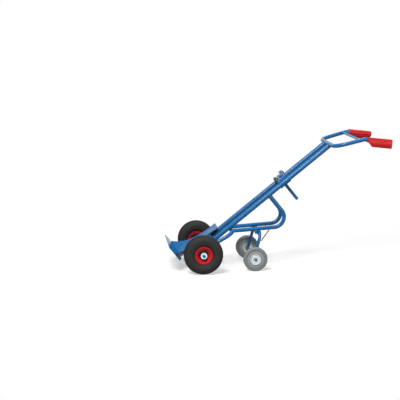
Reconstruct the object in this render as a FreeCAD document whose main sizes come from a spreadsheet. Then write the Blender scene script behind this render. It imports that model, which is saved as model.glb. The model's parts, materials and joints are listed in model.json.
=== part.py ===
import FreeCAD, Part
import Sketcher
import math
import os
import re

from FreeCAD import Placement, Rotation, Vector

doc = FreeCAD.newDocument("drum_trolley")
sheet = doc.addObject("Spreadsheet::Sheet", "dims")

# Driving sizes in millimetres and degrees
SIZES = (
    # stance: the shaft leans back from upright until all four wheels stand on the floor
    ("lean", 51),
    ("wheelbase", 353),
    ("weld_gap", 0.2),
    ("rear_trim", 2),
    # shares of a bolt's diameter, and of a rim's width or sheet
    ("hex_share", 0.87),
    ("head_share", 0.6),
    ("nut_share", 0.8),
    ("lip_share", 0.42),
    ("shoulder_share", 0.36),
    ("disc_share", 0.3),
    ("sheet_share", 0.6),
    ("band_share", 0.8),
    ("guard_share", 0.7),
    ("hook_hole_share", 0.7),
    # main wheels on the axle
    ("wheel_d", 260),
    ("wheel_w", 82),
    ("wheel_track", 560),
    ("tread_w", 58),
    ("tyre_wall", 9),
    ("side_ring", 1.5),
    ("side_ring_tall", 7),
    ("groove_w", 5),
    ("groove_deep", 6),
    ("groove_pitch", 17),
    ("bead_d", 110),
    ("rim_w", 56),
    ("rim_wall", 4),
    ("recess_d", 64),
    ("valve_d", 8),
    ("valve_len", 24),
    ("valve_up", 45),
    ("hub_d", 40),
    ("hub_len", 78),
    ("axle_d", 20),
    ("axle_over", 8.4),
    ("axle_fit", 0.1),
    ("spacer_d", 30),
    ("washer_d", 42),
    ("washer_thick", 3),
    ("pin_d", 5),
    ("pin_len", 30),
    # support wheels
    ("support_d", 160),
    ("support_w", 40),
    ("support_track", 418),
    ("support_rim_d", 74),
    ("support_disc_d", 60),
    ("support_hub_d", 30),
    ("support_hub_len", 46),
    ("support_bolt_d", 12),
    ("support_ring", 8),
    ("support_dip", 2),
    ("support_over", 16),
    # spine tubes
    ("spine_d", 33.7),
    ("spine_wall", 2.6),
    ("spine_pitch", 150),
    ("spine_back", 9.5),
    ("spine_low", 112),
    # toe plate and curved wall of the shovel
    ("toe_drop", 142),
    ("toe_thick", 6),
    ("toe_front", 171),
    ("toe_half", 220),
    ("toe_side", 57),
    ("toe_tail", 30),
    ("toe_tail_half", 70),
    ("load_r", 293),
    ("wall_front", 36),
    ("wall_thick", 5),
    ("wall_half", 197),
    ("wall_tip", 8),
    ("wall_up", 178),
    ("wall_top_half", 70),
    ("wall_flare", 420),
    ("rib_thick", 8),
    ("rib_up", 112),
    # handle bow, crossbar and grips
    ("handle_d", 26.9),
    ("handle_wall", 2.3),
    ("base_up", 1114),
    ("base_half", 244),
    ("base_back", 5),
    ("base_bend", 85),
    ("arm_back", 84),
    ("arm_half", 267),
    ("arm_up", 1290),
    ("arm_bend", 60),
    ("end_back", 206),
    ("end_up", 1412),
    ("crossbar_d", 16),
    ("crossbar_wall", 1.5),
    ("crossbar_share", 0.87),
    ("grip_len", 156),
    ("grip_d", 34),
    ("grip_cap", 5),
    ("grip_fit", 0.15),
    ("guard_out", 50),
    ("guard_low", 41),
    ("guard_thick", 4),
    ("guard_bulge", 60),
    ("guard_taper", 26),
    # bow brace over the axle
    ("bow_d", 26.9),
    ("bow_wall", 2.3),
    ("bow_up", 236),
    ("bow_half", 152),
    ("bow_inset", 115),
    ("bow_foot", 22),
    ("bow_bend", 55),
    # support loops
    ("loop_d", 26.9),
    ("loop_wall", 2.3),
    ("loop_up", 585),
    ("loop_reach", 284),
    ("loop_bend", 70),
    # support fork
    ("fork_d", 21.3),
    ("fork_wall", 2.3),
    ("fork_half", 160),
    ("fork_inset", 49),
    ("fork_bend", 45),
    ("fork_pivot", 393),
    ("fork_foot", 17),
    ("fork_drop", 1.6),
    ("fork_fit", 0.1),
    ("bearing_wall", 5),
    ("bearing_len", 24),
    ("tab_reach", 30),
    ("tab_thick", 7),
    ("tab_len", 22),
    ("stop_gap", 0.3),
    # return springs of the fork
    ("coil_d", 8),
    ("wire_d", 1.6),
    ("coil_turns", 14),
    ("anchor_ahead", 68),
    ("lug_drop", 36),
    ("peg_d", 4),
    ("peg_len", 10),
    ("peg_head_d", 9),
    ("peg_head", 2),
    ("hook_r", 3.8),
    ("coil_lead", 13),
    # hook slider
    ("slide_low", 676),
    ("slide_tall", 84),
    ("slide_half", 80),
    ("slide_gap", 0.4),
    ("back_thick", 4),
    ("front_thick", 16),
    ("front_low", 6),
    ("front_step", 27),
    ("bar_w", 17),
    ("bolt_d", 8),
    ("bolt_head_d", 13),
    ("bolt_head", 5),
    ("bolt_inset", 16),
    ("rod_over", 2),
    ("ear_tall", 20),
    ("ear_gap", 8),
    ("ear_wall", 5),
    ("lever_d", 21.3),
    ("lever_wall", 2.3),
    ("lever_share", 0.49),
    ("lever_tip", 172),
    ("hook_w", 40),
    ("hook_thick", 6),
    ("hook_rise", 36),
    ("hook_tall", 49),
    ("hook_mouth", 16),
    ("hook_drop", 30),
    ("cheek_thick", 5),
    ("buffer_rise", 11),
    ("buffer_d", 24),
    ("buffer_len", 26),
    ("buffer_edge", 3),
    ("rod_d", 8),
)

for row, (alias, number) in enumerate(SIZES, 1):
    sheet.set("A%d" % row, alias)
    sheet.set("B%d" % row, str(number))
    sheet.setAlias("B%d" % row, alias)
doc.recompute()

WORDS = re.compile(r"\b(%s)\b" % "|".join(alias for alias, number in SIZES))


def full(text):
    return WORDS.sub(r"dims.\1", text)


def num(text):
    return float(sheet.evalExpression(full(text)))


def bind(thing, prop, text):
    thing.setExpression(prop, full(text))


# Floor point under the middle of the overall length is the origin, so the axle stands this far along X
FRONT_X = "(toe_front * cos(lean) + (toe_drop + toe_thick) * sin(lean))"
REAR_X = "(end_back * cos(lean) + end_up * sin(lean) + grip_cap + rear_trim)"
AXLE_X = "((%s - %s) / 2)" % (FRONT_X, REAR_X)
AXLE_Z = "(wheel_d / 2)"

NODES = []


def keep(thing, name):
    thing.Label = name
    NODES.append(thing)
    return thing


def place(thing, base, turn):
    thing.Placement = Placement(Vector(0, 0, 0), Rotation(Vector(0, 1, 0), num(turn)))
    bind(thing, "Placement.Base.x", base[0])
    bind(thing, "Placement.Base.y", base[1])
    bind(thing, "Placement.Base.z", base[2])
    bind(thing, "Placement.Rotation.Angle", turn)


def seat(thing, name):
    place(thing, (AXLE_X, "0", AXLE_Z), "lean")
    return keep(thing, name)


TURNS = {
    "X": Rotation(Vector(0, 1, 0), 90),
    "Y": Rotation(Vector(1, 0, 0), -90),
    "Z": Rotation(),
}


def spot(thing, base, axis):
    thing.Placement = Placement(Vector(0, 0, 0), TURNS[axis])
    bind(thing, "Placement.Base.x", base[0])
    bind(thing, "Placement.Base.y", base[1])
    bind(thing, "Placement.Base.z", base[2])
    return thing


def rod(name, radius, length, axis, base):
    thing = doc.addObject("Part::Cylinder", name)
    bind(thing, "Radius", radius)
    bind(thing, "Height", length)
    return spot(thing, base, axis)


def block(name, size, base):
    thing = doc.addObject("Part::Box", name)
    bind(thing, "Length", size[0])
    bind(thing, "Width", size[1])
    bind(thing, "Height", size[2])
    return spot(thing, base, "Z")


def cut(name, base, tools):
    thing = doc.addObject("Part::Cut", name)
    thing.Base = base
    if len(tools) == 1:
        thing.Tool = tools[0]
    else:
        both = doc.addObject("Part::MultiFuse", name + "_tools")
        both.Shapes = tools
        thing.Tool = both
    return thing


def fuse(name, shapes):
    thing = doc.addObject("Part::MultiFuse", name)
    thing.Shapes = shapes
    return thing


def group(name, shapes):
    thing = doc.addObject("Part::Compound", name)
    thing.Links = shapes
    return thing


def tube(name, size, wall, length, axis, base):
    outer = rod(name + "_outer", "%s / 2" % size, length, axis, base)
    inner = rod(name + "_inner", "%s / 2 - %s" % (size, wall), length, axis, base)
    return cut(name, outer, [inner])


def new_body(name):
    return doc.addObject("PartDesign::Body", name)


def new_sketch(body, name, role, shift=None):
    sketch = body.newObject("Sketcher::SketchObject", name)
    for feature in body.Origin.OriginFeatures:
        if feature.Role == role:
            sketch.AttachmentSupport = (feature, [""])
    sketch.MapMode = "FlatFace"
    if shift:
        bind(sketch, "AttachmentOffset.Base.z", shift)
    return sketch


def pin_point(sketch, index, end, across, along):
    for kind, text in (("DistanceX", across), ("DistanceY", along)):
        row = sketch.addConstraint(Sketcher.Constraint(kind, -1, 1, index, end, num(text)))
        bind(sketch, "Constraints[%d]" % row, text)


def pin_radius(sketch, index, text):
    row = sketch.addConstraint(Sketcher.Constraint("Radius", index, num(text)))
    bind(sketch, "Constraints[%d]" % row, text)


def ring(sketch, across, along, radius):
    circle = Part.Circle(Vector(num(across), num(along), 0), Vector(0, 0, 1), num(radius))
    index = sketch.addGeometry(circle, False)
    pin_point(sketch, index, 3, across, along)
    pin_radius(sketch, index, radius)


# A corner is (across, along), or (across, along, radius, turn) for an arc that ends there, turn +1 is anticlockwise
def outline(sketch, corners):
    pieces = []
    for place_in_row, corner in enumerate(corners):
        before = corners[place_in_row - 1]
        start = Vector(num(before[0]), num(before[1]), 0)
        stop = Vector(num(corner[0]), num(corner[1]), 0)
        if len(corner) == 2:
            index = sketch.addGeometry(Part.LineSegment(start, stop), False)
            pieces.append((index, 1, 2))
            continue
        radius = num(corner[2])
        turn = corner[3]
        chord = stop - start
        side = Vector(-chord.y, chord.x, 0).normalize()
        height = math.sqrt(max(radius ** 2 - chord.Length ** 2 / 4, 0))
        centre = (start + stop) / 2 + side * height * turn
        first, last = (start, stop) if turn > 0 else (stop, start)
        angles = [math.atan2(end.y - centre.y, end.x - centre.x) for end in (first, last)]
        circle = Part.Circle(centre, Vector(0, 0, 1), radius)
        index = sketch.addGeometry(Part.ArcOfCircle(circle, angles[0], angles[1]), False)
        pieces.append((index, 1, 2) if turn > 0 else (index, 2, 1))
    for place_in_row, corner in enumerate(corners):
        index, start, stop = pieces[place_in_row]
        following = pieces[(place_in_row + 1) % len(pieces)]
        sketch.addConstraint(Sketcher.Constraint("Coincident", index, stop, following[0], following[1]))
        pin_point(sketch, index, stop, corner[0], corner[1])
        if len(corner) > 2:
            pin_radius(sketch, index, corner[2])


# Straight runs between the corners, with a bend of the given radius at each inner corner
def bent_path(sketch, corners, radius):
    spots = [Vector(num(across), num(along), 0) for across, along in corners]
    size = num(radius)
    starts = [spots[0]]
    stops = []
    bends = []
    for before, corner, after in zip(spots, spots[1:], spots[2:]):
        come = (before - corner).normalize()
        leave = (after - corner).normalize()
        half = come.getAngle(leave) / 2
        reach = size / math.tan(half)
        middle = corner + (come + leave).normalize() * (size / math.sin(half))
        stops.append(corner + come * reach)
        starts.append(corner + leave * reach)
        bends.append((middle, (leave.cross(come)).z > 0))
    stops.append(spots[-1])
    lines = [sketch.addGeometry(Part.LineSegment(a, b), False) for a, b in zip(starts, stops)]
    for row, (middle, left) in enumerate(bends):
        ends = [stops[row], starts[row + 1]]
        if not left:
            ends.reverse()
        angles = [math.atan2(end.y - middle.y, end.x - middle.x) for end in ends]
        circle = Part.Circle(middle, Vector(0, 0, 1), size)
        arc = sketch.addGeometry(Part.ArcOfCircle(circle, angles[0], angles[1]), False)
        enter, leave = (1, 2) if left else (2, 1)
        mark = sketch.addGeometry(Part.Point(spots[row + 1]), True)
        sketch.addConstraint(Sketcher.Constraint("Tangent", lines[row], 2, arc, enter))
        sketch.addConstraint(Sketcher.Constraint("Tangent", arc, leave, lines[row + 1], 1))
        pin_radius(sketch, arc, radius)
        pin_point(sketch, mark, 1, corners[row + 1][0], corners[row + 1][1])
        sketch.addConstraint(Sketcher.Constraint("PointOnObject", mark, 1, lines[row]))
        sketch.addConstraint(Sketcher.Constraint("PointOnObject", mark, 1, lines[row + 1]))
    pin_point(sketch, lines[0], 1, corners[0][0], corners[0][1])
    pin_point(sketch, lines[-1], 2, corners[-1][0], corners[-1][1])


def pad(body, name, sketch, length):
    feature = body.newObject("PartDesign::Pad", name)
    feature.Profile = sketch
    bind(feature, "Length", length)
    return feature


def turned(body, name, sketch):
    feature = body.newObject("PartDesign::Revolution", name)
    feature.Profile = sketch
    feature.ReferenceAxis = (sketch, ["H_Axis"])
    feature.Angle = 360
    return feature


def piped(body, name, profile, path):
    feature = body.newObject("PartDesign::AdditivePipe", name)
    feature.Profile = profile
    feature.Spine = (path, ["Edge%d" % (row + 1) for row in range(len(path.Shape.Edges))])
    return feature


def mirrored(body, name, feature, role):
    twin = body.newObject("PartDesign::Mirrored", name)
    twin.Originals = [feature]
    for plane in body.Origin.OriginFeatures:
        if plane.Role == role:
            twin.MirrorPlane = (plane, [""])
    body.Tip = twin
    return twin


SIDES = (("left", "-1", -1), ("right", "1", 1))

# Spine tubes, slotted from the front for the axle and coped on top for the handle bow
for side, sign, way in SIDES:
    name = "spine_tube_" + side
    across = "%s * spine_pitch / 2" % sign
    start = "%s - spine_d" % across
    low = ("spine_back", across, "-spine_low")
    tall = "spine_low + base_up"
    outer = rod(name + "_outer", "spine_d / 2", tall, "Z", low)
    tools = [
        rod(name + "_bore", "spine_d / 2 - spine_wall", tall, "Z", low),
        rod(name + "_axle", "axle_d / 2 + axle_fit", "2 * spine_d", "Y", ("0", start, "0")),
        block(name + "_slot", ("spine_d", "2 * spine_d", "axle_d + 2 * axle_fit"),
              ("-spine_d", start, "-axle_d / 2 - axle_fit")),
        rod(name + "_cope", "handle_d / 2 + weld_gap", "2 * spine_d", "Y", ("base_back", start, "base_up")),
    ]
    seat(cut(name, outer, tools), name)

# Toe plate under the load
body = new_body("toe_plate")
sketch = new_sketch(body, "toe_outline", "XY_Plane", "-toe_drop - toe_thick")
outline(sketch, (
    ("-toe_front", "-toe_half"),
    ("-toe_side", "-toe_half"),
    ("-toe_tail", "-toe_tail_half"),
    ("-toe_tail", "toe_tail_half"),
    ("-toe_side", "toe_half"),
    ("-toe_front", "toe_half"),
))
pad(body, "toe_pad", sketch, "toe_thick")
seat(body, "toe_plate")

# Curved back wall of the shovel, bent to the round load and flared out to low tips
LOAD_X = "(-wall_front - load_r)"
WALL_R = "(load_r + wall_thick)"
body = new_body("shovel_wall_blank")
sketch = new_sketch(body, "wall_section", "XY_Plane", "-toe_drop")
outline(sketch, (
    ("%s + sqrt(load_r ^ 2 - wall_half ^ 2)" % LOAD_X, "-wall_half", "load_r", -1),
    ("%s + sqrt(%s ^ 2 - wall_half ^ 2)" % (LOAD_X, WALL_R), "-wall_half"),
    ("%s + sqrt(%s ^ 2 - wall_half ^ 2)" % (LOAD_X, WALL_R), "wall_half", WALL_R, 1),
    ("%s + sqrt(load_r ^ 2 - wall_half ^ 2)" % LOAD_X, "wall_half"),
))
pad(body, "wall_pad", sketch, "toe_drop + wall_up")
flare = new_body("shovel_wall_flare")
sketch = new_sketch(flare, "flare_outline", "YZ_Plane", "-toe_front - wall_front")
outline(sketch, (
    ("wall_half", "-toe_drop"),
    ("-wall_half", "-toe_drop"),
    ("-wall_half", "wall_tip - toe_drop"),
    ("-wall_top_half", "wall_up", "wall_flare", 1),
    ("wall_top_half", "wall_up"),
    ("wall_half", "wall_tip - toe_drop", "wall_flare", 1),
))
pad(flare, "flare_pad", sketch, "toe_front + wall_front")
wall = doc.addObject("Part::Common", "shovel_wall_cut")
wall.Base = body
wall.Tool = flare
seat(wall, "shovel_wall")

# Ribs that carry the wall on the front of the spine
for side, sign, way in SIDES:
    name = "wall_rib_" + side
    across = "%s * spine_pitch / 2" % sign
    tall = "spine_low + rib_up"
    blank = block(name + "_blank", ("wall_front + spine_d / 2 + spine_back", "rib_thick", tall),
                  ("-wall_front - spine_d / 2", "%s - rib_thick / 2" % across, "-spine_low"))
    tools = [
        rod(name + "_tube", "spine_d / 2 + weld_gap", tall, "Z", ("spine_back", across, "-spine_low")),
        rod(name + "_wall", "%s + weld_gap" % WALL_R, tall, "Z", (LOAD_X, "0", "-spine_low")),
        rod(name + "_axle", "axle_d / 2 + weld_gap", "2 * spine_d", "Y", ("0", "%s - spine_d" % across, "0")),
    ]
    seat(cut(name, blank, tools), name)

# Bow brace, half of it bent and the other half mirrored
BOW_BACK = "(spine_back + spine_d / 2 + bow_d / 2 + weld_gap)"
BOW_LONG = "sqrt(bow_up ^ 2 + %s ^ 2)" % BOW_BACK
BOW_TURN = "lean + atan(%s / bow_up) / 1 deg" % BOW_BACK
BOW_FOOT = "(wheel_track / 2 - bow_inset)"
BOW_STEP = "(%s - bow_half) / %s" % (BOW_FOOT, BOW_LONG)
body = new_body("bow_brace_bent")
path = new_sketch(body, "bow_path", "YZ_Plane")
bent_path(path, (
    ("0", BOW_LONG),
    ("bow_half", BOW_LONG),
    ("%s + bow_foot * %s" % (BOW_FOOT, BOW_STEP), "-bow_foot"),
), "bow_bend")
profile = new_sketch(body, "bow_profile", "XZ_Plane")
ring(profile, "0", BOW_LONG, "bow_d / 2")
ring(profile, "0", BOW_LONG, "bow_d / 2 - bow_wall")
doc.recompute()
half = piped(body, "bow_half_tube", profile, path)
doc.recompute()
mirrored(body, "bow_whole", half, "XZ_Plane")
hole = rod("bow_axle_hole", "axle_d / 2 + axle_fit", "wheel_track", "Y", ("0", "-wheel_track / 2", "0"))
bow = cut("bow_brace", body, [hole])
place(bow, (AXLE_X, "0", AXLE_Z), BOW_TURN)
keep(bow, "bow_brace")

# Support loops from the back of the spine round to the bow brace
for side, sign, way in SIDES:
    name = "support_loop_" + side
    across = "%s * spine_pitch / 2" % sign
    body = new_body(name + "_bent")
    path = new_sketch(body, name + "_path", "XZ_Plane", "-(%s)" % across)
    bent_path(path, (
        ("spine_back", "loop_up"),
        ("loop_reach", "loop_up"),
        (BOW_BACK, "bow_up"),
    ), "loop_bend")
    profile = new_sketch(body, name + "_profile", "YZ_Plane", "spine_back")
    ring(profile, across, "loop_up", "loop_d / 2")
    ring(profile, across, "loop_up", "loop_d / 2 - loop_wall")
    doc.recompute()
    piped(body, name + "_tube", profile, path)
    doc.recompute()
    tools = [
        rod(name + "_spine", "spine_d / 2 + weld_gap", "loop_up", "Z", ("spine_back", across, "loop_up / 2")),
        rod(name + "_bow", "bow_d / 2 + weld_gap", "spine_pitch", "Y",
            (BOW_BACK, "%s - spine_pitch / 2" % across, "bow_up")),
    ]
    seat(cut(name, body, tools), name)


# Spacers, washers and split pins on the axle
HUB_IN = "(wheel_track / 2 - hub_len / 2)"
HUB_OUT = "(wheel_track / 2 + hub_len / 2)"
BOW_OUT = "bow_d / 2 * sqrt(1 + (%s) ^ 2)" % BOW_STEP
SPACER_IN = "(%s + bow_foot * %s + %s + weld_gap)" % (BOW_FOOT, BOW_STEP, BOW_OUT)
spacers = []
washers = []
pins = []
for side, sign, way in SIDES:
    start = SPACER_IN if way > 0 else "-%s + stop_gap" % HUB_IN
    long = "%s - %s - stop_gap" % (HUB_IN, SPACER_IN)
    outer = rod("spacer_outer_" + side, "spacer_d / 2", long, "Y", ("0", start, "0"))
    inner = rod("spacer_bore_" + side, "axle_d / 2 + axle_fit", long, "Y", ("0", start, "0"))
    spacers.append(cut("spacer_" + side, outer, [inner]))
    start = "%s + stop_gap" % HUB_OUT if way > 0 else "-%s - stop_gap - washer_thick" % HUB_OUT
    outer = rod("washer_outer_" + side, "washer_d / 2", "washer_thick", "Y", ("0", start, "0"))
    inner = rod("washer_bore_" + side, "axle_d / 2 + axle_fit", "washer_thick", "Y", ("0", start, "0"))
    washers.append(cut("washer_" + side, outer, [inner]))
    middle = "%s * (%s + stop_gap * 2 + washer_thick + pin_d / 2)" % (sign, HUB_OUT)
    pins.append(rod("split_pin_" + side, "pin_d / 2", "pin_len", "Z", ("0", middle, "-pin_len / 2")))
holes = []
for side, sign, way in SIDES:
    middle = "%s * (%s + stop_gap * 2 + washer_thick + pin_d / 2)" % (sign, HUB_OUT)
    holes.append(rod("pin_hole_" + side, "pin_d / 2 + axle_fit", "pin_len", "Z", ("0", middle, "-pin_len / 2")))
AXLE_HALF = "(%s + stop_gap * 2 + washer_thick + pin_d + axle_over)" % HUB_OUT
bar = rod("main_axle_bar", "axle_d / 2", "2 * %s" % AXLE_HALF, "Y", ("0", "-%s" % AXLE_HALF, "0"))
seat(cut("main_axle_drilled", bar, holes), "main_axle")
seat(group("axle_spacer_pair", spacers), "axle_spacers")
seat(group("axle_washer_pair", washers), "axle_washers")
seat(group("split_pin_pair", pins), "split_pins")


def straight_and_bends(corners, sizes):
    edges = []
    last = corners[0]
    for before, corner, after, size in zip(corners, corners[1:], corners[2:], sizes):
        come = (before - corner).normalize()
        leave = (after - corner).normalize()
        half = come.getAngle(leave) / 2
        middle = corner + (come + leave).normalize() * (size / math.sin(half))
        enter = corner + come * (size / math.tan(half))
        depart = corner + leave * (size / math.tan(half))
        crown = middle + (corner - middle).normalize() * size
        edges.append(Part.LineSegment(last, enter).toShape())
        edges.append(Part.Arc(enter, crown, depart).toShape())
        last = depart
    edges.append(Part.LineSegment(last, corners[-1]).toShape())
    return Part.Wire(edges)


def swept(wire, radius, start, ahead):
    circle = Part.Wire([Part.makeCircle(radius, start, ahead)])
    return wire.makePipeShell([circle], True, False)


# Handle bow, bent in three directions, so its centre line is made of lines and arcs in space
corners = [
    Vector(num("end_back"), num("-arm_half"), num("end_up")),
    Vector(num("arm_back"), num("-arm_half"), num("arm_up")),
    Vector(num("base_back"), num("-base_half"), num("base_up")),
    Vector(num("base_back"), num("base_half"), num("base_up")),
    Vector(num("arm_back"), num("arm_half"), num("arm_up")),
    Vector(num("end_back"), num("arm_half"), num("end_up")),
]
bends = [num("arm_bend"), num("base_bend"), num("base_bend"), num("arm_bend")]
line = straight_and_bends(corners, bends)
ahead = corners[1] - corners[0]
outer = swept(line, num("handle_d / 2"), corners[0], ahead)
inner = swept(line, num("handle_d / 2 - handle_wall"), corners[0], ahead)
handle = doc.addObject("Part::Feature", "handle_bow")
handle.Shape = outer.cut(inner)
seat(handle, "handle_bow")
cope = doc.addObject("Part::Feature", "handle_cope")
cope.Shape = swept(line, num("handle_d / 2 + weld_gap"), corners[0], ahead)

# Crossbar between the arms
BAR_HALF = "(base_half + (arm_half - base_half) * crossbar_share)"
BAR_AT = ("base_back + (arm_back - base_back) * crossbar_share", "-%s" % BAR_HALF,
          "base_up + (arm_up - base_up) * crossbar_share")
bar = tube("crossbar_tube", "crossbar_d", "crossbar_wall", "2 * %s" % BAR_HALF, "Y", BAR_AT)
seat(cut("handle_crossbar", bar, [cope]), "handle_crossbar")


def world(back, up):
    across = "%s + (%s) * cos(lean) + (%s) * sin(lean)" % (AXLE_X, back, up)
    height = "%s - (%s) * sin(lean) + (%s) * cos(lean)" % (AXLE_Z, back, up)
    return across, height


# Safety grips: sleeve, end walls and an outer guard over the fingers, moulded in one
GRIP_RUN = "sqrt((end_back - arm_back) ^ 2 + (end_up - arm_up) ^ 2)"
GRIP_SIN = "(end_back - arm_back) / %s" % GRIP_RUN
GRIP_COS = "(end_up - arm_up) / %s" % GRIP_RUN
GRIP_TURN = "lean + atan((end_back - arm_back) / (end_up - arm_up)) / 1 deg"
GRIP_IN = "(grip_len - grip_cap - stop_gap)"
GUARD_EDGE = "(guard_out - guard_low / 5)"
for side, sign, way in SIDES:
    name = "grip_" + side
    body = new_body(name + "_moulding")
    sketch = new_sketch(body, name + "_sleeve", "XY_Plane")
    ring(sketch, "0", "0", "grip_d / 2")
    pad(body, name + "_sleeve_pad", sketch, "grip_len")
    sketch = new_sketch(body, name + "_end", "XY_Plane", "grip_len - grip_cap")
    outline(sketch, (
        ("-grip_d / 2", "0"),
        ("-grip_d / 2", "%s * %s" % (sign, GUARD_EDGE)),
        ("guard_low", "%s * %s" % (sign, GUARD_EDGE)),
        ("guard_low", "%s * %s * guard_share" % (sign, GUARD_EDGE)),
        ("grip_d / 2", "0"),
    ))
    pad(body, name + "_end_pad", sketch, "grip_cap")
    sketch = new_sketch(body, name + "_start", "XY_Plane")
    outline(sketch, (
        ("-grip_d / 2", "0"),
        ("-grip_d / 2", "%s * %s" % (sign, GUARD_EDGE)),
        ("grip_d / 2", "%s * %s" % (sign, GUARD_EDGE)),
        ("grip_d / 2", "0"),
    ))
    pad(body, name + "_start_pad", sketch, "grip_cap")
    sketch = new_sketch(body, name + "_guard", "XY_Plane")
    outline(sketch, (
        ("-grip_d / 2", "%s * %s" % (sign, GUARD_EDGE)),
        ("guard_low", "%s * %s" % (sign, GUARD_EDGE), "guard_bulge", -way),
        ("guard_low", "%s * (%s - guard_thick)" % (sign, GUARD_EDGE)),
        ("-grip_d / 2", "%s * (%s - guard_thick)" % (sign, GUARD_EDGE), "guard_bulge", way),
    ))
    pad(body, name + "_guard_pad", sketch, "grip_len")
    wedge = new_body(name + "_wedge")
    sketch = new_sketch(wedge, name + "_taper", "XZ_Plane", "-2 * guard_out")
    outline(sketch, (
        ("grip_d / 2", "-grip_cap"),
        ("2 * guard_low", "-grip_cap"),
        ("2 * guard_low", "guard_taper * 2"),
        ("guard_low", "guard_taper"),
        ("grip_d / 2", "0"),
    ))
    pad(wedge, name + "_taper_pad", sketch, "4 * guard_out")
    bore = rod(name + "_bore", "handle_d / 2 + grip_fit", "grip_len - grip_cap", "Z", ("0", "0", "0"))
    grip = cut(name, body, [bore, wedge])
    across, height = world("end_back - %s * %s" % (GRIP_IN, GRIP_SIN), "end_up - %s * %s" % (GRIP_IN, GRIP_COS))
    place(grip, (across, "%s * arm_half" % sign, height), GRIP_TURN)
    keep(grip, name)
doc.recompute()

# Main wheels, turned about the axle
CROWN = "(wheel_d / 40)"
MID_R = "((wheel_d + bead_d) / 4)"
for side, sign, way in SIDES:
    base = (AXLE_X, "%s * wheel_track / 2" % sign, AXLE_Z)
    body = new_body("main_tyre_blank_" + side)
    sketch = new_sketch(body, "main_tyre_section_" + side, "YZ_Plane")
    outline(sketch, (
        ("-rim_w / 2", "bead_d / 2"),
        ("-rim_w / 2", "bead_d / 2 + rim_wall + stop_gap"),
        ("-wheel_w / 2", MID_R, "wheel_w / 2", -1),
        ("-wheel_w / 2 - side_ring", MID_R),
        ("-wheel_w / 2 - side_ring", "%s + side_ring_tall" % MID_R),
        ("-wheel_w / 2", "%s + side_ring_tall" % MID_R),
        ("-tread_w / 2", "wheel_d / 2 - %s" % CROWN, "wheel_w / 2", -1),
        ("tread_w / 2", "wheel_d / 2 - %s" % CROWN, "(tread_w ^ 2 / 4 + %s ^ 2) / (2 * %s)" % (CROWN, CROWN), -1),
        ("wheel_w / 2", "%s + side_ring_tall" % MID_R, "wheel_w / 2", -1),
        ("wheel_w / 2 + side_ring", "%s + side_ring_tall" % MID_R),
        ("wheel_w / 2 + side_ring", MID_R),
        ("wheel_w / 2", MID_R),
        ("rim_w / 2", "bead_d / 2 + rim_wall + stop_gap", "wheel_w / 2", -1),
        ("rim_w / 2", "bead_d / 2"),
        ("rim_w / 2 - tyre_wall", "bead_d / 2"),
        ("wheel_w / 2 - tyre_wall", MID_R, "wheel_w / 2", 1),
        ("tread_w / 2 - tyre_wall / 2", "wheel_d / 2 - %s - tyre_wall" % CROWN, "wheel_w / 2", 1),
        ("tyre_wall / 2 - tread_w / 2", "wheel_d / 2 - %s - tyre_wall" % CROWN),
        ("tyre_wall - wheel_w / 2", MID_R, "wheel_w / 2", 1),
        ("tyre_wall - rim_w / 2", "bead_d / 2", "wheel_w / 2", 1),
    ))
    turned(body, "main_tyre_turn_" + side, sketch)
    grooves = []
    for row, shift in enumerate(("-groove_pitch", "0", "groove_pitch")):
        grooves.append(tube("groove_%s_%d" % (side, row), "(wheel_d + 2 * groove_w)", "(groove_w + groove_deep)",
                            "groove_w", "Y", ("0", "%s - groove_w / 2" % shift, "0")))
    tyre = cut("main_tyre_grooved_" + side, body, grooves)
    place(tyre, base, "0")
    keep(tyre, "main_tyre_" + side)
    body = new_body("main_rim_" + side)
    sketch = new_sketch(body, "main_rim_section_" + side, "YZ_Plane")
    outline(sketch, (
        ("-rim_w / 2 - rim_wall", "bead_d / 2 + rim_wall"),
        ("-rim_w / 2 - stop_gap", "bead_d / 2 + rim_wall"),
        ("-rim_w / 2 - stop_gap", "bead_d / 2 - stop_gap"),
        ("rim_w / 2 + stop_gap", "bead_d / 2 - stop_gap"),
        ("rim_w / 2 + stop_gap", "bead_d / 2 + rim_wall"),
        ("rim_w / 2 + rim_wall", "bead_d / 2 + rim_wall"),
        ("rim_w / 2 + rim_wall", "bead_d / 2 - rim_wall"),
        ("rim_w / 2 - 2 * rim_wall", "recess_d / 2 + rim_wall", "bead_d", -1),
        ("2 * rim_wall", "recess_d / 2"),
        ("2 * rim_wall", "hub_d / 2 + axle_fit"),
        ("-2 * rim_wall", "hub_d / 2 + axle_fit"),
        ("-2 * rim_wall", "recess_d / 2"),
        ("2 * rim_wall - rim_w / 2", "recess_d / 2 + rim_wall"),
        ("-rim_w / 2 - rim_wall", "bead_d / 2 - rim_wall", "bead_d", -1),
    ))
    turned(body, "main_rim_turn_" + side, sketch)
    place(body, base, "0")
    keep(body, "main_rim_" + side)
    hub = tube("main_hub_tube_" + side, "hub_d", "(hub_d / 2 - axle_d / 2 - axle_fit)", "hub_len", "Y",
               ("0", "-hub_len / 2", "0"))
    place(hub, base, "0")
    keep(hub, "main_hub_" + side)
    low = "2 * rim_wall - rim_w / 2 - valve_len" if way > 0 else "rim_w / 2 - 2 * rim_wall"
    stem = rod("valve_stem_" + side, "valve_d / 2", "valve_len", "Y",
               (AXLE_X, "%s + %s" % (base[1], low), "%s + valve_up" % AXLE_Z))
    keep(cut("valve_cut_" + side, stem, [body]), "main_valve_" + side)
doc.recompute()

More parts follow.
